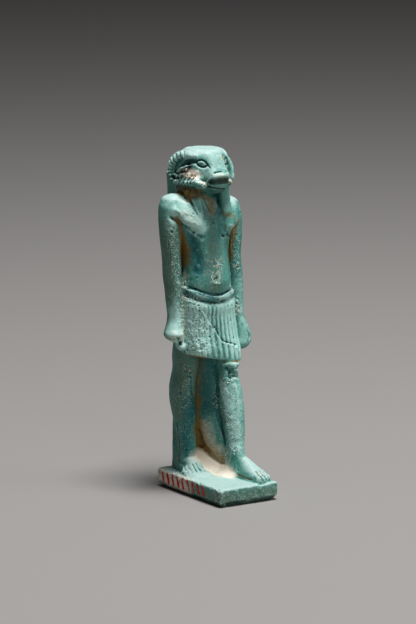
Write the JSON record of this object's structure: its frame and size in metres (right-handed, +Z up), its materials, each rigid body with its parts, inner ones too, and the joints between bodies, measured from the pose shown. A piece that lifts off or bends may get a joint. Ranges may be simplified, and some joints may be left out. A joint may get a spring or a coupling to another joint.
{
  "type": "deity amulet",
  "caption": "Small amulet of a striding ram-headed god in a pleated kilt, on an oblong plinth with a back pillar pierced across for a cord; it stands on its base or is worn.",
  "frame": {"origin": "middle of the plinth's underside", "axes": "+Z up along the figure's height, -Y the way the figure faces and steps, +X towards the figure's left side"},
  "size_m": [0.0221, 0.0281, 0.0801],
  "materials": {
    "faience": "soft satin blue-green glaze, worn and pitted"
  },
  "bodies": {
    "root": {"ram_headed_amulet": "faience"}
  },
  "joints": []
}
